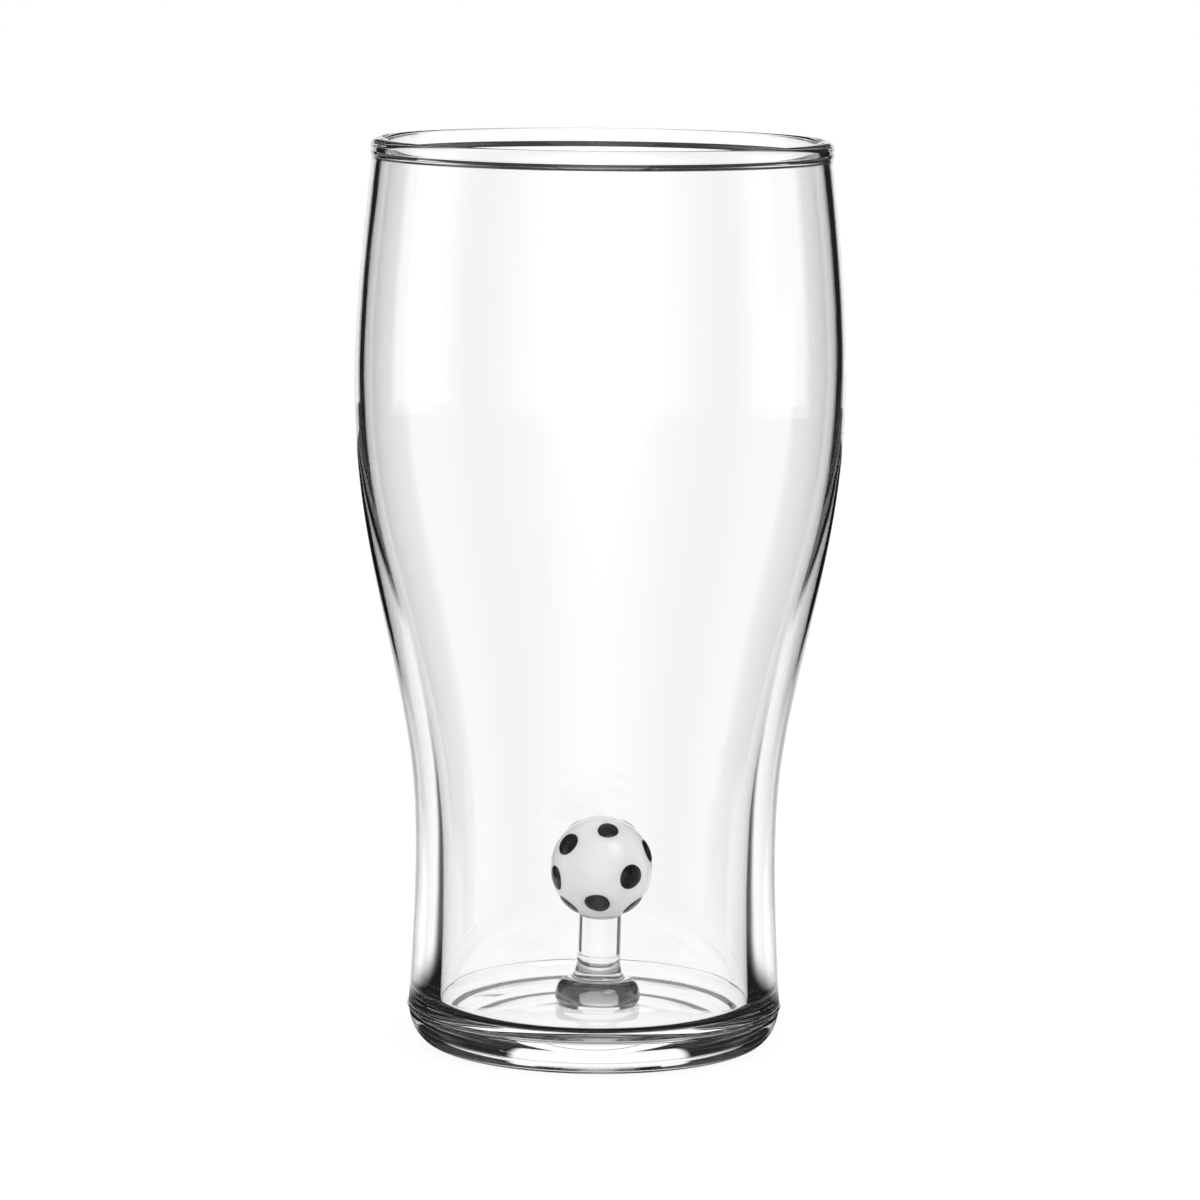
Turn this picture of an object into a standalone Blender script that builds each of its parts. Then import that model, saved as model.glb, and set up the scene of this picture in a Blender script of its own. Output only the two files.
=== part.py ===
"""Pint glass with a small spotted glass ball standing on a clear stem inside it.

The tumbler, the stem, the ball and each dot are separate glass pieces. Sizes are in metres, +Z is up,
the glass stands on z = 0 with its axis on Z, and -Y is the front.
"""

import math

import bpy
import numpy as np

# Tumbler: the whole height, and the levels of its shape, each one measured from the level below it.
HEIGHT = 0.1580
SEAM_LEVEL = 0.0066
WAIST_RISE = 0.0252
KNEE_RISE = 0.0162
FLARE_RISE = 0.0220
SHOULDER_RISE = 0.0250
BELLY_RISE = 0.0238
BEAD_RISE = 0.0034

# Tumbler: outer radius at each of those levels.
STANDING_RADIUS = 0.0278
SEAM_RADIUS = 0.03255
WAIST_RADIUS = 0.03150
KNEE_RADIUS = 0.03215
FLARE_RADIUS = 0.03620
SHOULDER_RADIUS = 0.04108
BELLY_RADIUS = 0.04250
NECK_RADIUS = 0.03973

# Tumbler: wall thickness at each of those levels.
SEAM_WALL = 0.0054
WAIST_WALL = 0.0047
KNEE_WALL = 0.0041
FLARE_WALL = 0.0032
SHOULDER_WALL = 0.0020
BELLY_WALL = 0.0016
NECK_WALL = 0.0017

# Tumbler: rolled rim bead, floor, mould seam, rounded heel and domed underside.
BEAD_THICKNESS = 0.0026
BEAD_BULGE = 0.00025
BEAD_SWELL = 0.0013
BEAD_ROUND = 0.0013
FLOOR_THICKNESS = 0.0066
FLOOR_FILLET = 0.0028
SEAM_HALF = 0.0005
SEAM_RISE = 0.00028
HEEL_OVERRUN = 0.0006
STANDING_WIDTH = 0.0030
PUNT_DEPTH = 0.0030

# Figure: where it stands on the floor and how far it leans to the right.
FIGURE_OFFSET = 0.0006
FIGURE_LEAN = math.radians(1.2)

# Stem: a clear rod that flares into a pressed bun foot, with levels measured from the seat.
FOOT_DIAMETER = 0.0145
BUN_DIAMETER = 0.0149
BUN_LEVEL = 0.0010
BUN_RISE = 0.0031
COLLAR_DIAMETER = 0.0098
ROD_DIAMETER = 0.0076
ROD_FLARE = 0.0037
ROD_LENGTH = 0.0112

# Ball and its round inlaid dots.
BALL_DIAMETER = 0.0181
SOCKET_DEPTH = 0.0015
DOT_EDGE_DEPTH = 0.0006
DOT_PROUD = 0.0001

# Dots, set by hand: degrees round from the front, positive to the right, degrees of latitude, diameter.
DOTS = (
    (11, 58, 0.0037), (-54, 33, 0.0045), (80, 23, 0.0043), (-65, -9, 0.0043), (35, -1, 0.0045),
    (-4, -34, 0.0044), (-62, -46, 0.0043), (60, -43, 0.0043), (-125, 50, 0.0041), (128, 52, 0.0041),
    (124, 3, 0.0043), (-121, 4, 0.0041), (178, 14, 0.0042), (140, -38, 0.0041), (-146, -36, 0.0042),
)

# Clearance between glass pieces that touch.
JOINT_GAP = 0.0003

# Facets of the turned pieces and of their curves.
TUMBLER_STEPS = 56
STEM_STEPS = 28
BALL_STEPS = 32
DOT_STEPS = 18
WALL_POINTS = 16
ARC_POINTS = 6
MERGE = 0.00001
SHARP_ANGLE = math.radians(40)

# Colours and gloss of the four glasses.
GLASS_INDEX = 1.5
CLEAR_COLOUR = (0.98, 0.99, 0.99)
STEM_COLOUR = (0.97, 0.98, 0.98)
OPAL_COLOUR = (0.90, 0.92, 0.90)
BLACK_COLOUR = (0.012, 0.011, 0.011)
OPAL_ROUGHNESS = 0.08
BLACK_ROUGHNESS = 0.06

# Levels above the table, from the rises.
WAIST_LEVEL = SEAM_LEVEL + WAIST_RISE
KNEE_LEVEL = WAIST_LEVEL + KNEE_RISE
FLARE_LEVEL = KNEE_LEVEL + FLARE_RISE
SHOULDER_LEVEL = FLARE_LEVEL + SHOULDER_RISE
BELLY_LEVEL = SHOULDER_LEVEL + BELLY_RISE
NECK_LEVEL = HEIGHT - BEAD_RISE
LEVELS = (SEAM_LEVEL, WAIST_LEVEL, KNEE_LEVEL, FLARE_LEVEL, SHOULDER_LEVEL, BELLY_LEVEL, NECK_LEVEL)
RADII = (SEAM_RADIUS, WAIST_RADIUS, KNEE_RADIUS, FLARE_RADIUS, SHOULDER_RADIUS, BELLY_RADIUS, NECK_RADIUS)
WALLS = (SEAM_WALL, WAIST_WALL, KNEE_WALL, FLARE_WALL, SHOULDER_WALL, BELLY_WALL, NECK_WALL)

BALL_RADIUS = BALL_DIAMETER / 2
ROD_RADIUS = ROD_DIAMETER / 2
COLLAR_RADIUS = COLLAR_DIAMETER / 2
BUN_RADIUS = BUN_DIAMETER / 2
FOOT_RADIUS = FOOT_DIAMETER / 2

# Levels above the figure's seat: the bun's top, where the rod meets the ball, its tip and the ball's middle.
BUN_TOP_LEVEL = BUN_LEVEL + BUN_RISE
ROD_TOP_LEVEL = BUN_TOP_LEVEL + ROD_LENGTH
ROD_TIP_LEVEL = ROD_TOP_LEVEL + SOCKET_DEPTH
BALL_LEVEL = ROD_TOP_LEVEL + math.sqrt(BALL_RADIUS**2 - ROD_RADIUS**2)


def clear_scene():
    for obj in list(bpy.data.objects):
        bpy.data.objects.remove(obj)


def new_collection(name):
    collection = bpy.data.collections.new(name)
    bpy.context.scene.collection.children.link(collection)
    return collection


def glass_material(name, colour, roughness, transmission):
    material = bpy.data.materials.new(name)
    material.use_nodes = True
    shader = material.node_tree.nodes["Principled BSDF"]
    shader.inputs["Base Color"].default_value = (*colour, 1.0)
    shader.inputs["Roughness"].default_value = roughness
    shader.inputs["Metallic"].default_value = 0.0
    shader.inputs["Transmission Weight"].default_value = transmission
    shader.inputs["IOR"].default_value = GLASS_INDEX
    return material


def smooth_curve(levels, values):
    """A natural cubic spline through values at rising levels, as a function of level."""
    x = np.array(levels, float)
    y = np.array(values, float)
    step = np.diff(x)
    slope = np.diff(y) / step
    system = np.eye(len(x))
    bend = np.zeros(len(x))
    for i in range(1, len(x) - 1):
        system[i, i - 1:i + 2] = step[i - 1], 2 * (step[i - 1] + step[i]), step[i]
        bend[i] = 6 * (slope[i] - slope[i - 1])
    bend = np.linalg.solve(system, bend)

    def value_at(level):
        i = int(np.clip(np.searchsorted(x, level) - 1, 0, len(step) - 1))
        left = level - x[i]
        right = x[i + 1] - level
        cubic = (bend[i] * right**3 + bend[i + 1] * left**3) / (6 * step[i])
        from_left = (y[i] / step[i] - bend[i] * step[i] / 6) * right
        from_right = (y[i + 1] / step[i] - bend[i + 1] * step[i] / 6) * left
        return float(cubic + from_left + from_right)

    return value_at


def arc(centre, radii, start, end, points=ARC_POINTS):
    """Points of an elliptical arc between two angles in degrees, as (radius, level)."""
    angles = np.radians(np.linspace(start, end, points))
    return [(centre[0] + radii[0] * math.cos(a), centre[1] + radii[1] * math.sin(a)) for a in angles]


def turned_mesh(name, profile):
    """A profile of (radius, level) points in the XZ plane, as a mesh of edges."""
    mesh = bpy.data.meshes.new(name)
    verts = [(radius, 0.0, level) for radius, level in profile]
    edges = [(i, i + 1) for i in range(len(verts) - 1)]
    mesh.from_pydata(verts, edges, [])
    return mesh


def turned(name, profile, steps, material, collection):
    """A solid of revolution about its own Z axis, from a profile that runs down its outer side."""
    mesh = turned_mesh(name, profile)
    mesh.materials.append(material)
    obj = bpy.data.objects.new(name, mesh)
    collection.objects.link(obj)
    screw = obj.modifiers.new("turn", "SCREW")
    screw.steps = steps
    screw.render_steps = steps
    screw.use_merge_vertices = True
    screw.merge_threshold = MERGE
    screw.use_smooth_shade = True
    return obj


def heel_arc(top):
    """The rounded heel from a level down to the table: part of an ellipse that ends above the seam."""
    height = SEAM_LEVEL + HEEL_OVERRUN
    start = math.degrees(math.asin(top / height - 1))
    return arc((STANDING_RADIUS, height), (SEAM_RADIUS - STANDING_RADIUS, height), start, -90, 2 * ARC_POINTS)


def punt_dome():
    """The dome under the base, from the standing ring in to the middle."""
    reach = STANDING_RADIUS - STANDING_WIDTH
    return [(reach * share, PUNT_DEPTH * (1 - share**2)) for share in np.linspace(1, 0, ARC_POINTS)]


def bead_face(wall, bead):
    """One face of the rim bead, swelling from the wall's radius to the bead's as it rises."""
    points = []
    for share in np.linspace(0, 1, ARC_POINTS)[1:]:
        swell = share**2 * (3 - 2 * share)
        points.append((wall + (bead - wall) * swell, NECK_LEVEL + BEAD_SWELL * share))
    return points


def rim_bead():
    """The rolled rim: up its inner face, over its round top and down its outer face."""
    outer = NECK_RADIUS + BEAD_BULGE
    inner = outer - BEAD_THICKNESS
    centre = ((outer + inner) / 2, HEIGHT - BEAD_ROUND)
    top = arc(centre, (BEAD_THICKNESS / 2, BEAD_ROUND), 180, 0, 2 * ARC_POINTS)
    return bead_face(NECK_RADIUS - NECK_WALL, inner) + top + bead_face(NECK_RADIUS, outer)[::-1]


def tumbler_profile():
    """The section of the glass, from the middle of its floor up inside, over the rim and down outside."""
    outer = smooth_curve(LEVELS, RADII)
    wall = smooth_curve(LEVELS, WALLS)

    def inner(level):
        return outer(level) - wall(level)

    corner_level = FLOOR_THICKNESS + FLOOR_FILLET
    corner = (inner(corner_level) - FLOOR_FILLET, corner_level)
    floor = [(0.0, FLOOR_THICKNESS)]
    floor += arc(corner, (FLOOR_FILLET, FLOOR_FILLET), -90, 0)[:-1]
    inside = [(inner(z), z) for z in np.linspace(corner_level, NECK_LEVEL, WALL_POINTS)]
    outside = [(outer(z), z) for z in np.linspace(NECK_LEVEL, SEAM_LEVEL + SEAM_HALF, WALL_POINTS)]
    seam = [(SEAM_RADIUS + SEAM_RISE, SEAM_LEVEL)]
    return floor + inside + rim_bead() + outside + seam + heel_arc(SEAM_LEVEL - SEAM_HALF) + punt_dome()


def stem_profile():
    """The section of the stem, from its flat tip down the rod, round its flare and over the bun foot."""
    tip = ROD_TIP_LEVEL
    flare_radii = (COLLAR_RADIUS - ROD_RADIUS, ROD_FLARE)
    flare = arc((COLLAR_RADIUS, BUN_TOP_LEVEL + ROD_FLARE), flare_radii, 180, 270)
    bun = arc((COLLAR_RADIUS, BUN_LEVEL), (BUN_RADIUS - COLLAR_RADIUS, BUN_RISE), 90, 0)
    return [(0.0, tip), (ROD_RADIUS, tip)] + flare + bun[1:] + [(FOOT_RADIUS, 0.0), (0.0, 0.0)]


def dot_profile(diameter, gap):
    """The section of one dot about the ball's centre, grown all round by a gap for its pocket."""
    radius = diameter / 2 + gap
    face = BALL_RADIUS + DOT_PROUD + gap
    edge_level = math.sqrt(BALL_RADIUS**2 - (diameter / 2) ** 2)
    edge_angle = math.degrees(math.acos(radius / face))
    back = edge_level - DOT_EDGE_DEPTH - gap
    return arc((0.0, 0.0), (face, face), 90, edge_angle) + [(radius, back), (0.0, back)]


def make_figure_seat(collection):
    """The point on the floor where the figure stands, clear of the glass at the angle it leans."""
    seat = bpy.data.objects.new("figure_seat", None)
    collection.objects.link(seat)
    lift = JOINT_GAP + FOOT_RADIUS * math.sin(FIGURE_LEAN)
    seat.location = (FIGURE_OFFSET, 0.0, FLOOR_THICKNESS + lift)
    seat.rotation_euler = (0.0, FIGURE_LEAN, 0.0)
    return seat


def make_ball_centre(seat, collection):
    """The middle of the ball, on the stem's axis, which the ball and its dots are placed by."""
    centre = bpy.data.objects.new("ball_centre", None)
    collection.objects.link(centre)
    centre.parent = seat
    centre.location = (0.0, 0.0, BALL_LEVEL)
    return centre


def make_ball(centre, material, collection):
    bpy.ops.mesh.primitive_uv_sphere_add(segments=BALL_STEPS, ring_count=BALL_STEPS // 2, radius=BALL_RADIUS)
    ball = bpy.context.object
    ball.name = "ball"
    ball.data.name = "ball"
    for holder in list(ball.users_collection):
        holder.objects.unlink(ball)
    collection.objects.link(ball)
    ball.parent = centre
    ball.data.materials.append(material)
    ball.data.shade_smooth()
    ball.data.set_sharp_from_angle(angle=SHARP_ANGLE)
    return ball


def cut(obj, tool):
    boolean = obj.modifiers.new("cut_" + tool.name, "BOOLEAN")
    boolean.operation = "DIFFERENCE"
    boolean.solver = "EXACT"
    boolean.object = tool
    tool.hide_render = True
    tool.display_type = "WIRE"


def make_socket(ball, centre, material, cutters):
    """The round socket under the ball that the rod's tip sits in."""
    radius = ROD_RADIUS + JOINT_GAP
    top = ROD_TIP_LEVEL + JOINT_GAP - BALL_LEVEL
    profile = [(0.0, top), (radius, top), (radius, -BALL_DIAMETER), (0.0, -BALL_DIAMETER)]
    tool = turned("socket_cutter", profile, STEM_STEPS, material, cutters)
    tool.parent = centre
    cut(ball, tool)


def make_dots(ball, centre, material, collection, cutters):
    """One inlaid dot at each place, and the pocket in the ball that it sits in."""
    for number, (azimuth, latitude, diameter) in enumerate(DOTS, start=1):
        turn = (0.0, math.radians(90 - latitude), math.radians(azimuth - 90))
        dot = turned(f"dot_{number:02d}", dot_profile(diameter, 0.0), DOT_STEPS, material, collection)
        pocket_profile = dot_profile(diameter, JOINT_GAP)
        pocket = turned(f"pocket_{number:02d}", pocket_profile, DOT_STEPS, material, cutters)
        for piece in (dot, pocket):
            piece.parent = centre
            piece.rotation_euler = turn
        cut(ball, pocket)


def main():
    clear_scene()
    parts = new_collection("pint_glass")
    cutters = new_collection("cutters")
    clear_glass = glass_material("clear_glass", CLEAR_COLOUR, 0.0, 1.0)
    stem_glass = glass_material("stem_glass", STEM_COLOUR, 0.0, 1.0)
    opal_glass = glass_material("opal_glass", OPAL_COLOUR, OPAL_ROUGHNESS, 0.0)
    black_glass = glass_material("black_glass", BLACK_COLOUR, BLACK_ROUGHNESS, 0.0)

    turned("tumbler", tumbler_profile(), TUMBLER_STEPS, clear_glass, parts)
    seat = make_figure_seat(parts)
    stem = turned("stem", stem_profile(), STEM_STEPS, stem_glass, parts)
    stem.parent = seat
    centre = make_ball_centre(seat, parts)
    ball = make_ball(centre, opal_glass, parts)
    make_socket(ball, centre, opal_glass, cutters)
    make_dots(ball, centre, black_glass, parts, cutters)


main()
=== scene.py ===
# %% [markdown]
# # Dressing a pint glass
# The solids that come with the frame are faceted, and clear glass shows every facet twice: once as a
# reflection and once as a bent background. So this lesson turns each piece again with a fine smooth
# surface, gives it a glass finish and lights it the way glass is lit in a studio.

import math

import bmesh
import bpy
import numpy as np
from mathutils import Matrix, Vector, noise


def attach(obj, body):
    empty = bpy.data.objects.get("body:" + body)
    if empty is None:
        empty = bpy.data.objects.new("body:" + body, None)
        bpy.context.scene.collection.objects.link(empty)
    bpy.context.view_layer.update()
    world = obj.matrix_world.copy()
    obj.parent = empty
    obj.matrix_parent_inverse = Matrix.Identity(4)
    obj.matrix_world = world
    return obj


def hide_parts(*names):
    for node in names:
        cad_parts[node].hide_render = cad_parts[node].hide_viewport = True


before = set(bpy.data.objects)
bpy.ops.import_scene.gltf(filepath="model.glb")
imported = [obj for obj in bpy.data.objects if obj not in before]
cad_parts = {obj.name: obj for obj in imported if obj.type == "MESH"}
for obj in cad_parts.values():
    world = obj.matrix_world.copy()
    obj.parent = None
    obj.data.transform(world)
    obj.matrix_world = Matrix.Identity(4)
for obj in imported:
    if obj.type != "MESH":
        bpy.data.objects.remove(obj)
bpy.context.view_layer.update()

# %% [markdown]
# ## A way to write shader maths
# A shader is a graph of nodes. Wiring each one by hand hides the formula, so this small class wraps a
# socket: an expression such as `1 - mask * 0.5` adds the Math nodes that work it out. Every other node
# comes from one method, `node`, which sets the node's settings first and then feeds its sockets.

# %% Wrap a socket
class Wire:
    """A socket in a node tree. Arithmetic on it adds Math nodes to the tree."""

    def __init__(self, tree, socket=None):
        self.tree = tree
        self.socket = socket

    def node(self, kind, settings=None, values=None, out=0):
        made = self.tree.nodes.new(kind)
        for name, value in (settings or {}).items():
            setattr(made, name, value)
        for name, value in (values or {}).items():
            self.feed(made.inputs[name], value)
        return Wire(self.tree, made.outputs[out])

    def feed(self, socket, value):
        if isinstance(value, Wire):
            self.tree.links.new(value.socket, socket)
        else:
            socket.default_value = value

    def math(self, operation, *values):
        return self.node("ShaderNodeMath", {"operation": operation}, dict(enumerate(values)))

    def ramp(self, low, high):
        """0 up to low, 1 from high on, with a smooth rise between them."""
        settings = {"interpolation_type": "SMOOTHSTEP"}
        return self.node("ShaderNodeMapRange", settings, {0: self, 1: low, 2: high})

    def over(self, count):
        """1 where a whole number is greater than count, and 0 elsewhere."""
        return self.math("GREATER_THAN", self, count + 0.5)

    def __add__(self, other):
        return self.math("ADD", self, other)

    def __sub__(self, other):
        return self.math("SUBTRACT", self, other)

    def __rsub__(self, other):
        return self.math("SUBTRACT", other, self)

    def __mul__(self, other):
        return self.math("MULTIPLY", self, other)

    __radd__ = __add__
    __rmul__ = __mul__


def shader_of(material):
    """The material's emptied node tree as a Wire, and its output node."""
    material.use_nodes = True
    tree = material.node_tree
    tree.nodes.clear()
    return Wire(tree), tree.nodes.new("ShaderNodeOutputMaterial")


# %% [markdown]
# ## The camera
# The photograph was taken from about a metre away with a long lens, a little above the rim and looking
# down. A long lens keeps the sides of the glass nearly parallel. The picture is tilted by half a degree,
# so the camera rolls by as much.

# %% Place the camera
PHOTO_SIDE = 1200
FOCAL_PIXELS = 5556.9
SENSOR = 36.0
CAMERA_PLACE = (0.00035, -0.9584, 0.2074)
CAMERA_PITCH = math.radians(-7.693)
CAMERA_ROLL = math.radians(0.584)

camera_data = bpy.data.cameras.new("camera")
camera_data.sensor_width = SENSOR
camera_data.lens = SENSOR * FOCAL_PIXELS / PHOTO_SIDE
camera = bpy.data.objects.new("camera", camera_data)
bpy.context.scene.collection.objects.link(camera)
tilt = Matrix.Rotation(math.pi / 2 + CAMERA_PITCH, 4, "X") @ Matrix.Rotation(CAMERA_ROLL, 4, "Z")
camera.matrix_world = Matrix.Translation(CAMERA_PLACE) @ tilt
bpy.context.scene.camera = camera
print("lens:", round(camera_data.lens, 1), "mm")

# %% [markdown]
# ## Drawing smooth glass
# Blown glass has one long soft line from its base to its rim. Here that line runs through a few levels,
# joined by a natural cubic spline: unlike straight runs or single arcs its curvature never jumps, and a
# jump in curvature shows in glass as a crease. Arcs of an ellipse draw the small rounds.

# %% Draw curves
def smooth_curve(levels, values):
    """A natural cubic spline through values at rising levels, as a function of level."""
    x = np.array(levels, float)
    y = np.array(values, float)
    step = np.diff(x)
    slope = np.diff(y) / step
    system = np.eye(len(x))
    bend = np.zeros(len(x))
    for i in range(1, len(x) - 1):
        system[i, i - 1:i + 2] = step[i - 1], 2 * (step[i - 1] + step[i]), step[i]
        bend[i] = 6 * (slope[i] - slope[i - 1])
    bend = np.linalg.solve(system, bend)

    def value_at(level):
        i = int(np.clip(np.searchsorted(x, level) - 1, 0, len(step) - 1))
        left = level - x[i]
        right = x[i + 1] - level
        cubic = (bend[i] * right**3 + bend[i + 1] * left**3) / (6 * step[i])
        from_left = (y[i] / step[i] - bend[i] * step[i] / 6) * right
        from_right = (y[i + 1] / step[i] - bend[i + 1] * step[i] / 6) * left
        return float(cubic + from_left + from_right)

    return value_at


def arc(centre, radii, start, end, points):
    """Points of an elliptical arc between two angles in degrees, as (radius, level)."""
    angles = np.radians(np.linspace(start, end, points))
    return [(centre[0] + radii[0] * math.cos(a), centre[1] + radii[1] * math.sin(a)) for a in angles]


# %% [markdown]
# ## Turning smooth glass
# A section is a line of points (radius, level), and `turn` spins it about the upright axis into a fine
# mesh. A Screw modifier could do the same, but a plain mesh can be tilted and measured at once.

# %% Turn a section into a piece
MERGE = 0.000002


def turn(name, section, steps):
    """A piece turned about Z from a section that runs down its outer side, smooth all over."""
    shape = bmesh.new()
    points = [shape.verts.new((radius, 0.0, level)) for radius, level in section]
    edges = [shape.edges.new(pair) for pair in zip(points[:-1], points[1:])]
    bmesh.ops.spin(
        shape, geom=points + edges, cent=(0, 0, 0), axis=(0, 0, 1),
        angle=2 * math.pi, steps=steps, use_merge=True,
    )
    bmesh.ops.remove_doubles(shape, verts=shape.verts, dist=MERGE)
    bmesh.ops.recalc_face_normals(shape, faces=shape.faces)
    return finished(name, shape)


def finished(name, shape):
    """Turns a bmesh into a linked object with smooth faces."""
    mesh = bpy.data.meshes.new(name)
    shape.to_mesh(mesh)
    shape.free()
    mesh.shade_smooth()
    piece = bpy.data.objects.new(name, mesh)
    bpy.context.scene.collection.objects.link(piece)
    return piece


def belongs(piece, slot, *nodes):
    """The whole glass is one body, so every piece rides on the root and stands for its nodes."""
    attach(piece, "root")
    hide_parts(*nodes)
    print(piece.name, "has", len(piece.data.polygons), "faces")


# %% [markdown]
# ## The tumbler
# The glass is one blown piece. It stands on a heavy base with a mould line round the heel, draws in to a
# waist, swells to a belly and closes a little to a rolled rim. Its wall thins from over 5 mm at the floor to
# under 2 mm at the rim. Outside and inside could be modelled as two shells, but then the wall would depend
# on two lists that must agree. Here the inside is the outside less the wall, so the wall is never lost.

# %% Set the line of the wall
LEVELS = (0.0066, 0.0318, 0.0480, 0.0700, 0.0950, 0.1188, 0.1546)
OUTER_RADII = (0.03255, 0.03150, 0.03215, 0.03620, 0.04108, 0.04250, 0.03973)
WALLS = (0.0054, 0.0047, 0.0041, 0.0032, 0.0020, 0.0016, 0.0017)
outer_at = smooth_curve(LEVELS, OUTER_RADII)
wall_at = smooth_curve(LEVELS, WALLS)


def inner_at(level):
    return outer_at(level) - wall_at(level)


print("mouth inside:", round(2 * inner_at(LEVELS[-1]), 4), "m across")

# %% [markdown]
# ## Heel, seam and rim
# The heel rounds off to the table, and above it a low ridge is left where the parts of the mould met. At
# the rim the wall swells on both sides and rounds over. Bevels could round them all, but a bevel is the
# same everywhere, and each of these has a round of its own.

# %% Shape the heel, the seam and the rim
NECK_LEVEL = LEVELS[-1]
SEAM_LEVEL = LEVELS[0]
SEAM_HALF = 0.0005
SEAM_RISE = 0.00028
SEAM_POINTS = 12
STANDING_RADIUS = 0.0278
STANDING_WIDTH = 0.0030
HEEL_WIDTH = OUTER_RADII[0] - STANDING_RADIUS
HEEL_HEIGHT = 0.0072
RIM_LEVEL = 0.1580
BEAD_SWELL = 0.0013
BEAD_ROUND = 0.0013
BEAD_THICKNESS = 0.0026
BEAD_BULGE = 0.00025
ARC_POINTS = 24


def heel_arc(top):
    """The rounded heel from a level down to the table: part of an ellipse."""
    start = math.degrees(math.asin(top / HEEL_HEIGHT - 1))
    return arc((STANDING_RADIUS, HEEL_HEIGHT), (HEEL_WIDTH, HEEL_HEIGHT), start, -90, 2 * ARC_POINTS)


def seam(above, below):
    """A low ridge between the wall and the heel, where the two parts of the mould met."""
    shares = np.linspace(0, 1, SEAM_POINTS)[1:-1]
    return [
        (
            above[0] + (below[0] - above[0]) * share + SEAM_RISE * math.sin(math.pi * share) ** 2,
            above[1] + (below[1] - above[1]) * share,
        )
        for share in shares
    ]


def rim_bead():
    """The rolled rim: the wall swells on both sides into upright faces and rounds over at the top."""
    outer = OUTER_RADII[-1] + BEAD_BULGE
    middle = outer - BEAD_THICKNESS / 2
    shares = np.linspace(0, 1, ARC_POINTS)[1:]
    swells = [(share, share**2 * (3 - 2 * share)) for share in shares]

    def face(wall, bead):
        return [(wall + (bead - wall) * swell, NECK_LEVEL + BEAD_SWELL * share) for share, swell in swells]

    top = arc((middle, RIM_LEVEL - BEAD_ROUND), (BEAD_THICKNESS / 2, BEAD_ROUND), 180, 0, 2 * ARC_POINTS)
    return face(inner_at(NECK_LEVEL), outer - BEAD_THICKNESS) + top + face(OUTER_RADII[-1], outer)[::-1]


print("rim bead:", len(rim_bead()), "points")

# %% [markdown]
# ## The whole section
# The floor is flat with a fillet at the wall, and a shallow dome, the punt, is pushed up under the base so
# that the glass stands on a ring. The spin is fine enough that no facet shows, also where the wall acts as
# a lens: each of its steps is under two degrees. A modifier could smooth a coarser mesh, but it would round
# the rim and the seam too.

# %% Turn the tumbler
PUNT_DEPTH = 0.0030
FLOOR_LEVEL = 0.0066
FLOOR_FILLET = 0.0028
WALL_POINTS = 120
SLOPE_STEP = 0.000002
TUMBLER_STEPS = 192


def tumbler_section():
    """From the middle of the floor up inside, over the rim, down outside and in under the base."""
    corner_level = FLOOR_LEVEL + FLOOR_FILLET
    rise = inner_at(corner_level + SLOPE_STEP) - inner_at(corner_level)
    lean = math.degrees(math.atan(rise / SLOPE_STEP))
    corner = (inner_at(corner_level) - FLOOR_FILLET, corner_level)
    floor = [(corner[0] * share, FLOOR_LEVEL) for share in np.linspace(0, 1, ARC_POINTS)]
    floor += arc(corner, (FLOOR_FILLET, FLOOR_FILLET), -90, -lean, ARC_POINTS)[1:-1]
    inside = [(inner_at(z), z) for z in np.linspace(corner_level, NECK_LEVEL, WALL_POINTS)]
    outside = [(outer_at(z), z) for z in np.linspace(NECK_LEVEL, SEAM_LEVEL + SEAM_HALF, WALL_POINTS)]
    heel = heel_arc(SEAM_LEVEL - SEAM_HALF)
    reach = STANDING_RADIUS - STANDING_WIDTH
    punt = [(reach * share, PUNT_DEPTH * (1 - share**2)) for share in np.linspace(1, 0, ARC_POINTS)]
    return floor + inside + rim_bead() + outside + seam(outside[-1], heel[0]) + heel + punt


tumbler = turn("pint_tumbler", tumbler_section(), TUMBLER_STEPS)
belongs(tumbler, "clear_glass", "tumbler")

# %% [markdown]
# ## The stem
# A short clear rod flares into a bun-shaped foot that was pressed while it was soft. The flare and the bun
# are quarter ellipses, which meet without a step. On the real glass the foot is melted to the floor, with
# no air between. Two glass surfaces with a hair of air between them would mirror like silver, so the foot
# is sunk a fraction of a millimetre into the floor instead.

# %% Turn the stem
FIGURE_OFFSET = 0.0006
FIGURE_LIFT = 0.00045
FIGURE_LEAN = math.radians(1.2)
FOOT_RADIUS = 0.00725
BUN_RADIUS = 0.00745
BUN_LEVEL = 0.0010
BUN_RISE = 0.0031
COLLAR_RADIUS = 0.0049
ROD_RADIUS = 0.0038
ROD_FLARE = 0.0037
ROD_LENGTH = 0.0112
SOCKET_DEPTH = 0.0015
BALL_RADIUS = 0.00905
FOOT_SINK = 0.0008

figure_place = Vector((FIGURE_OFFSET, 0.0, FLOOR_LEVEL + FIGURE_LIFT))
figure_frame = Matrix.Translation(figure_place) @ Matrix.Rotation(FIGURE_LEAN, 4, "Y")
BUN_TOP = BUN_LEVEL + BUN_RISE
ROD_TOP = BUN_TOP + ROD_LENGTH
BALL_LEVEL = ROD_TOP + math.sqrt(BALL_RADIUS**2 - ROD_RADIUS**2)


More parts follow.
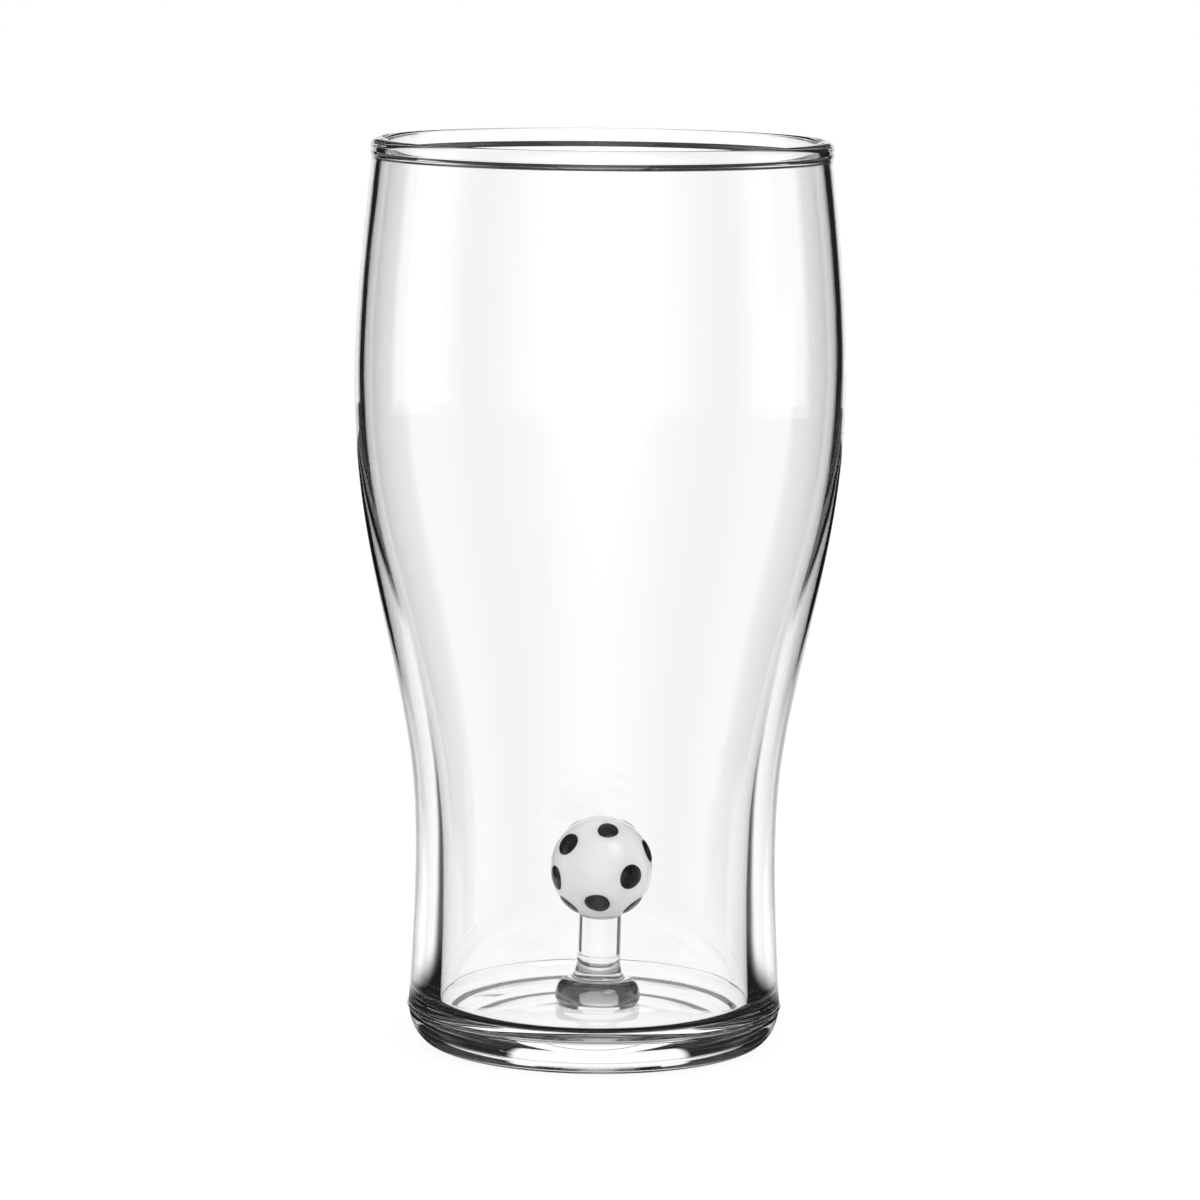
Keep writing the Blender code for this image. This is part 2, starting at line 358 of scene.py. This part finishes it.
def stem_section():
    """From the rod's tip down the rod, round its flare, over the bun and in under the foot."""
    tip = ROD_TOP + SOCKET_DEPTH
    flare_centre = (COLLAR_RADIUS, BUN_TOP + ROD_FLARE)
    rod = [(ROD_RADIUS, z) for z in np.linspace(tip, flare_centre[1], ARC_POINTS)]
    flare = arc(flare_centre, (COLLAR_RADIUS - ROD_RADIUS, ROD_FLARE), 180, 270, ARC_POINTS)[1:]
    bun = arc((COLLAR_RADIUS, BUN_LEVEL), (BUN_RADIUS - COLLAR_RADIUS, BUN_RISE), 90, 0, ARC_POINTS)[1:]
    tuck = arc((FOOT_RADIUS, BUN_LEVEL), (BUN_RADIUS - FOOT_RADIUS, BUN_LEVEL), 0, -90, ARC_POINTS)[1:]
    return [(0, tip)] + rod + flare + bun + tuck + [(FOOT_RADIUS, -FOOT_SINK), (0, -FOOT_SINK)]


STEM_STEPS = 96

stem = turn("ball_stem", stem_section(), STEM_STEPS)
stem.data.transform(figure_frame)
belongs(stem, "stem_glass", "stem")

# %% [markdown]
# ## The ball
# An opal glass ball, gathered on the tip of the rod. An icosphere has even triangles all over, with no
# poles for the highlight to pinch at, and a slow noise takes the last of the machine roundness off it.

# %% Shape the ball
BALL_WOBBLE = 0.00006
BALL_WOBBLE_SCALE = 120.0
BALL_SUBDIVISIONS = 6

ball_frame = figure_frame @ Matrix.Translation((0, 0, BALL_LEVEL))
shape = bmesh.new()
bmesh.ops.create_icosphere(shape, subdivisions=BALL_SUBDIVISIONS, radius=BALL_RADIUS - BALL_WOBBLE)
for vert in shape.verts:
    vert.co += vert.co.normalized() * BALL_WOBBLE * noise.noise(vert.co * BALL_WOBBLE_SCALE)
ball = finished("opal_ball", shape)
ball.data.transform(ball_frame)
belongs(ball, "opal_glass", "ball")

# %% [markdown]
# ## The dots
# Each dot is a drop of black glass pressed into the soft ball. No two are quite round, so each outline gets
# its own slight wobble. The face is a low dome that rolls over at its edge and runs down into the ball.

# %% Shape a dot's outline and face
DOTS = (
    (11, 58, 0.00185), (-54, 33, 0.00225), (80, 23, 0.00215), (-65, -9, 0.00215), (35, -1, 0.00225),
    (-4, -34, 0.0022), (-62, -46, 0.00215), (60, -43, 0.00215), (-125, 50, 0.00205), (128, 52, 0.00205),
    (124, 3, 0.00215), (-121, 4, 0.00205), (178, 14, 0.0021), (140, -38, 0.00205), (-146, -36, 0.0021),
)
DOT_PROUD = 0.00008
DOT_OVAL = 0.045
DOT_LOBE = 0.025
OVAL_TURN = 1.7
LOBE_TURN = 2.9


def dot_outline(number, angle):
    """A dot's radius in one direction, as a share of its size: nearly round, with a wobble of its own."""
    oval = DOT_OVAL * math.cos(2 * angle + OVAL_TURN * number)
    lobe = DOT_LOBE * math.cos(3 * angle + LOBE_TURN * number)
    return 1 + oval + lobe


def dot_lift(share):
    """How far the face stands above the ball, from the middle at 0 to the edge at 1."""
    return DOT_PROUD * (1 - 2 * share**6)


print("dots:", len(DOTS))

# %% [markdown]
# A dot is built at the top of the ball from rings of points and then swung out to its place. It could be
# cut from a second ball, but rings follow the outline, so its edge stays clean.

# %% Press the dots into the ball
DOT_DEPTH = 0.0006
DOT_RINGS = 14
DOT_STEPS = 48


def press_dot(number, azimuth, latitude, radius):
    shape = bmesh.new()
    rows = []
    for ring in range(1, DOT_RINGS + 1):
        share = ring / DOT_RINGS
        row = []
        for step in range(DOT_STEPS):
            angle = 2 * math.pi * step / DOT_STEPS
            across = share * radius * dot_outline(number, angle)
            up = math.sqrt(BALL_RADIUS**2 - across**2) + dot_lift(share)
            row.append(shape.verts.new((across * math.cos(angle), across * math.sin(angle), up)))
        rows.append(row)
    back = [shape.verts.new((v.co.x, v.co.y, v.co.z - DOT_DEPTH)) for v in rows[-1]]
    rows.append(back)
    for upper, lower in zip(rows[:-1], rows[1:]):
        for i in range(DOT_STEPS):
            j = (i + 1) % DOT_STEPS
            shape.faces.new((upper[i], lower[i], lower[j], upper[j]))
    top = shape.verts.new((0, 0, BALL_RADIUS + DOT_PROUD))
    for i in range(DOT_STEPS):
        shape.faces.new((top, rows[0][i], rows[0][(i + 1) % DOT_STEPS]))
    shape.faces.new(list(reversed(back)))
    dot = finished(f"black_dot_{number:02d}", shape)
    turn_out = Matrix.Rotation(math.radians(azimuth - 90), 4, "Z")
    turn_down = Matrix.Rotation(math.radians(90 - latitude), 4, "Y")
    dot.data.transform(ball_frame @ turn_out @ turn_down)
    belongs(dot, "black_glass", f"dot_{number:02d}")
    return dot


dots = [press_dot(number, *place) for number, place in enumerate(DOTS, start=1)]

# %% [markdown]
# ## Clear glass
# Clear glass is one shader with full transmission and the index of soda-lime glass. What makes it look
# blown and not drawn by a computer is a very slow waviness, far too low to see as a bump, that bends what
# shows through the wall.

# %% Mix the clear glass
GLASS_INDEX = 1.52
WAVE_SCALE = 70.0
WAVE_HEIGHT = 0.00002
TUMBLER_COLOUR = (0.992, 0.992, 0.990, 1)
STEM_COLOUR = (0.985, 0.983, 0.978, 1)


def clear_glass(name, colour):
    material = bpy.data.materials.new(name)
    wire, output = shader_of(material)
    place = wire.node("ShaderNodeTexCoord", out="Object")
    wave = wire.node("ShaderNodeTexNoise", values={"Vector": place, "Scale": WAVE_SCALE, "Detail": 1.0})
    bump = wire.node("ShaderNodeBump", values={"Strength": 1.0, "Distance": WAVE_HEIGHT, "Height": wave})
    glass = wire.node(
        "ShaderNodeBsdfPrincipled",
        values={
            "Base Color": colour, "Roughness": 0.0, "IOR": GLASS_INDEX,
            "Transmission Weight": 1.0, "Normal": bump,
        },
    )
    wire.feed(output.inputs["Surface"], glass)
    return material


tumbler.data.materials.append(clear_glass("clear_glass", TUMBLER_COLOUR))
stem.data.materials.append(clear_glass("stem_glass", STEM_COLOUR))
print("clear glass on", tumbler.name, "and", stem.name)

# %% [markdown]
# ## Opal glass
# Opal glass is white because of fine crystals inside it, so light enters, spreads a few millimetres and
# comes out again: subsurface scattering under a clear gloss. A faint swirl is left where the glass was
# gathered from the pot.

# %% Mix the opal glass
OPAL_DEEP = (0.900, 0.925, 0.905, 1)
OPAL_PALE = (0.940, 0.955, 0.945, 1)
OPAL_ROUGHNESS = 0.05
OPAL_SCATTER = 0.6
OPAL_REACH = 0.002
SWIRL_SCALE = 160.0
SWIRL_DETAIL = 3.0
SWIRL_EDGES = (0.35, 0.70)


def mottled(wire, scale, detail, edges, dark, pale):
    """A noise over the piece, and a colour that goes with it from dark to pale."""
    place = wire.node("ShaderNodeTexCoord", out="Object")
    cloud = wire.node("ShaderNodeTexNoise", values={"Vector": place, "Scale": scale, "Detail": detail})
    # The Mix node calls its numbers and its colours A and B alike, so the colours go by their place
    blend = {0: cloud.ramp(*edges), 6: dark, 7: pale}
    return cloud, wire.node("ShaderNodeMix", {"data_type": "RGBA"}, blend, out=2)


opal = bpy.data.materials.new("opal_glass")
wire, output = shader_of(opal)
swirl, colour = mottled(wire, SWIRL_SCALE, SWIRL_DETAIL, SWIRL_EDGES, OPAL_DEEP, OPAL_PALE)
glass = wire.node(
    "ShaderNodeBsdfPrincipled",
    values={
        "Base Color": colour, "Roughness": OPAL_ROUGHNESS, "IOR": GLASS_INDEX,
        "Subsurface Weight": OPAL_SCATTER, "Subsurface Radius": (1.0, 1.0, 1.0),
        "Subsurface Scale": OPAL_REACH,
    },
)
wire.feed(output.inputs["Surface"], glass)
ball.data.materials.append(opal)
print("opal glass on", ball.name)

# %% [markdown]
# ## Black glass
# Black glass takes in all that enters, so only its gloss shows. The drops were pressed with a tool, which
# leaves fine streaks that are a little duller than the rest.

# %% Mix the black glass
BLACK_DEEP = (0.008, 0.007, 0.007, 1)
BLACK_PALE = (0.022, 0.018, 0.017, 1)
BLACK_GLOSS = 0.25
BLACK_ROUGHNESS = 0.02
STREAK_ROUGHNESS = 0.08
STREAK_SCALE = 900.0
STREAK_DETAIL = 2.0
STREAK_EDGES = (0.40, 0.75)

black = bpy.data.materials.new("black_glass")
wire, output = shader_of(black)
streak, colour = mottled(wire, STREAK_SCALE, STREAK_DETAIL, STREAK_EDGES, BLACK_DEEP, BLACK_PALE)
glass = wire.node(
    "ShaderNodeBsdfPrincipled",
    values={
        "Base Color": colour, "Roughness": streak * STREAK_ROUGHNESS + BLACK_ROUGHNESS,
        "IOR": GLASS_INDEX, "Specular IOR Level": BLACK_GLOSS,
    },
)
wire.feed(output.inputs["Surface"], glass)
for dot in dots:
    dot.data.materials.append(black)
print("black glass on", len(dots), "dots")

# %% [markdown]
# ## The studio
# Glass has no colour of its own to light. It shows what stands round it, bent and mirrored, so a studio
# draws it with dark cards just outside the picture: the clear middle of the glass sees a white backlight,
# and its edges, rim and base see the cards. The cards could be objects, but then they would shade the
# table too. Here they are written into the sky, each by the compass angles that it fills and by how much
# light it takes away. Four glass faces take about a seventh of what passes, so the backlight stands a
# little above 1 for the middle of the glass to come out white.

# %% Hang the backlight and the cards
BACKLIGHT = 1.09
CARD_SOFT = math.radians(1.5)
CARDS = {
    "left flag": (-66, -22, -9, 48, 0.985),
    "right flag": (19, 66, -12, 60, 0.985),
    "high flag on the right": (58, 150, 18, 70, 0.92),
    "high flag on the left": (-150, -64, 24, 60, 0.8),
    "low flag on the left": (-80, -44, -18, -8, 0.92),
    "low flag on the right": (44, 62, -18, -11, 0.92),
    "left side flag": (-124, -108, -12, 40, 0.9),
    "right side flag": (108, 124, -12, 40, 0.9),
    "ceiling": (-181, 181, 62, 95, 0.75),
}


def between(value, low, high):
    """1 between two angles in degrees, with soft ends."""
    low, high = math.radians(low), math.radians(high)
    rise = value.ramp(low - CARD_SOFT, low + CARD_SOFT)
    return rise * (1 - value.ramp(high - CARD_SOFT, high + CARD_SOFT))


def card(azimuth, elevation, west, east, low, high, depth):
    """The light that one card leaves: 1 beside it and 1 - depth on it."""
    return 1 - depth * between(azimuth, west, east) * between(elevation, low, high)


world = bpy.data.worlds.new("studio")
bpy.context.scene.world = world
world.use_nodes = True
world.node_tree.nodes.clear()
sky = Wire(world.node_tree)
direction = sky.node("ShaderNodeTexCoord", out="Generated")
split = sky.node("ShaderNodeSeparateXYZ", values={0: direction}).socket.node
east, north, height = (Wire(sky.tree, split.outputs[i]) for i in range(3))
azimuth = sky.math("ARCTAN2", east, north)
elevation = sky.math("ARCSINE", height)
light = BACKLIGHT
for place in CARDS.values():
    light = light * card(azimuth, elevation, *place)
print("cards:", ", ".join(CARDS))

# %% [markdown]
# ## Sorting the light
# The cards are there for the glass alone. What the camera sees past it stays white, and the opal ball is
# lit by an even tent, brighter in front and above. Light Path tells which is which: by the first ray, and
# by how often the light met something matt or a mirror, or passed a face of glass, on its way. Mirrored
# light also sees a dimmer room beside the camera, and a window up on the right for the highlight on the
# ball. Light that was mirrored more than once in the heavy base goes dark, which gives the glass its black
# foot, and light that went on through the floor stays white.

# %% Give each kind of light its sky
TENT_MEAN = 1.35
TENT_SLOPE = 0.6
TENT_SIDE = Vector((0.3, -0.8, 0.5)).normalized()
WINDOW = (118, 154, 37, 58)
WINDOW_LIGHT = 7.0
SIDE_ANGLES = (math.radians(75), math.radians(120))
FRONT_ANGLES = (math.radians(120), math.radians(176))
ROOM_SHADE = 0.9
WALL_PASSES = 3
STEM_PASSES = 5
DEEP_DARK = 0.008
STEM_SHARE = 0.45


def light_path(wire):
    """Whether the camera sees a ray itself, and how often it met matt things, mirrors and glass faces."""
    path = wire.node("ShaderNodeLightPath").socket.node
    names = ("Is Camera Ray", "Diffuse Depth", "Glossy Depth", "Transmission Depth")
    return [Wire(wire.tree, path.outputs[name]) for name in names]


seen, matt, mirrors, passes = light_path(sky)
mirrored, deep, lit = mirrors.over(0), mirrors.over(1), matt.over(0)
in_stem = passes.over(STEM_PASSES)
by_floor = passes.over(WALL_PASSES) * (1 - in_stem)
in_wall = 1 - passes.over(WALL_PASSES)
window = WINDOW_LIGHT * between(azimuth, *WINDOW[:2]) * between(elevation, *WINDOW[2:])
window = window * mirrored * (1 - deep) * by_floor
beside = sky.math("ABSOLUTE", azimuth)
shade = beside.ramp(*SIDE_ANGLES) * (1 - beside.ramp(*FRONT_ANGLES))
light = light * (1 - ROOM_SHADE * mirrored * shade) + window
deep_light = by_floor * BACKLIGHT + in_stem * light * STEM_SHARE + in_wall * DEEP_DARK
light = light * (1 - deep) + deep * deep_light
tent = TENT_MEAN + TENT_SLOPE * (TENT_SIDE.x * east + TENT_SIDE.y * north + TENT_SIDE.z * height)
strength = seen + (1 - seen) * (lit * tent + (1 - lit) * light)
background = sky.node("ShaderNodeBackground", values={"Color": (1, 1, 1, 1), "Strength": strength})
sky.feed(sky.tree.nodes.new("ShaderNodeOutputWorld").inputs["Surface"], background)
print("sky nodes:", len(sky.tree.nodes))

# %% [markdown]
# ## One real flag
# The rim and the base have to see the edge of a dark flag at different heights: from the rim it starts
# just above the level, and from the base it is far up. A card in the sky is endlessly far away and stands
# at the same angle for both, so this one is a sheet that hangs close behind the glass. The camera and the
# ball don't see it, and neither does the light that is mirrored in the floor.

# %% Hang the flag
FLAG_DISTANCE = 0.40
FLAG_BOTTOM = 0.209
FLAG_TOP = 0.60
FLAG_HALF = 0.35
FLAG_COLOUR = (0.03, 0.03, 0.03, 1)

shape = bmesh.new()
corners = (
    (-FLAG_HALF, FLAG_BOTTOM), (FLAG_HALF, FLAG_BOTTOM), (FLAG_HALF, FLAG_TOP), (-FLAG_HALF, FLAG_TOP),
)
shape.faces.new([shape.verts.new((x, FLAG_DISTANCE, z)) for x, z in corners])
flag = finished("flag", shape)
flag.visible_camera = False
flag.visible_diffuse = False
flag.visible_shadow = False
material = bpy.data.materials.new("flag_black")
wire, output = shader_of(material)
mirrors, passes = light_path(wire)[2:]
by_floor = mirrors.over(0) * passes.over(WALL_PASSES) * (1 - passes.over(STEM_PASSES))
felt = wire.node("ShaderNodeBsdfDiffuse", values={"Color": FLAG_COLOUR})
clear = wire.node("ShaderNodeBsdfTransparent")
wire.feed(output.inputs["Surface"], wire.node("ShaderNodeMixShader", values={0: by_floor, 1: felt, 2: clear}))
flag.data.materials.append(material)
print("flag hangs from", FLAG_TOP, "down to", FLAG_BOTTOM, "m")

# %% [markdown]
# ## The table
# The glass stands on a plain white table, a flat round sheet that is wider than the picture.

# %% Lay the table
TABLE_RADIUS = 0.9
TABLE_STEPS = 128

shape = bmesh.new()
bmesh.ops.create_circle(shape, cap_ends=True, radius=TABLE_RADIUS, segments=TABLE_STEPS)
table = finished("table", shape)
print("stage:", flag.name, table.name)

# %% [markdown]
# ## The light of the table
# The table is white to the camera, apart from a faint shadow. In the glass it matters where light meets it:
# mirrored light from the upper wall falls on the table far off, and from the lower wall close by. So for
# light mirrored in the wall a bright strip leads back to the backlight, a bright fan leads to the camera,
# and the rest is dark, which draws the dark wedges of the lower wall. Other light from the glass goes
# through the table to the sky.

# %% Light the table
TABLE_COLOUR = (0.9, 0.9, 0.9, 1)
TABLE_GLOW = 1.0
GLOW_SHARE = 0.88
STRIP_HALF = 0.15
STRIP_START = 0.042
STRIP_SOFT = 0.012
STRIP_CORNER = 0.036
FAN_SPREAD = 0.6
FAN_SOFT = 0.35
TABLE_DARK = 0.012

material = bpy.data.materials.new("table_white")
wire, output = shader_of(material)
seen, matt, mirrors, passes = light_path(wire)
place = wire.node("ShaderNodeNewGeometry", out="Position")
split = wire.node("ShaderNodeSeparateXYZ", values={0: place}).socket.node
across, back = Wire(wire.tree, split.outputs[0]), Wire(wire.tree, split.outputs[1])


def beyond(value, edge):
    """0 below an edge in metres and 1 above it, with a soft change."""
    return value.ramp(edge - STRIP_SOFT, edge + STRIP_SOFT)


aside = wire.math("ABSOLUTE", across)
strip = (1 - beyond(aside, STRIP_HALF)) * beyond(back, STRIP_START) * (1 - beyond(aside - back, STRIP_CORNER))
fan = 1 - (aside + back * FAN_SPREAD).ramp(-FAN_SOFT, 0.0)
bright = wire.math("MAXIMUM", strip, fan)
glow = wire.node("ShaderNodeEmission", values={"Color": (1, 1, 1, 1), "Strength": TABLE_GLOW})
cloth = wire.node("ShaderNodeBsdfDiffuse", values={"Color": TABLE_COLOUR})
pale = wire.node("ShaderNodeMixShader", values={0: seen * GLOW_SHARE, 1: cloth, 2: glow})
clear = wire.node("ShaderNodeBsdfTransparent")
mirror = wire.node("ShaderNodeEmission", values={"Color": bright + TABLE_DARK, "Strength": BACKLIGHT})
in_wall = mirrors.over(0) * (1 - passes.over(WALL_PASSES))
in_glass = wire.node("ShaderNodeMixShader", values={0: in_wall, 1: clear, 2: mirror})
by_glass = (1 - seen) * (1 - matt.over(0))
whole = wire.node("ShaderNodeMixShader", values={0: by_glass, 1: pale, 2: in_glass})
wire.feed(output.inputs["Surface"], whole)
table.data.materials.append(material)
print("table nodes:", len(wire.tree.nodes))

# %% [markdown]
# ## Rendering settings that belong to glass
# A ray that meets the heavy base is mirrored inside it many times before it leaves, so it needs more
# bounces than usual, or it ends black. The Standard view keeps colours as they are written.

# %% Set the view and the bounces
BOUNCES = 40

bpy.context.scene.view_settings.view_transform = "Standard"
cycles = bpy.context.scene.cycles
cycles.max_bounces = BOUNCES
cycles.transmission_bounces = BOUNCES
cycles.glossy_bounces = BOUNCES
print("bounces:", cycles.max_bounces)
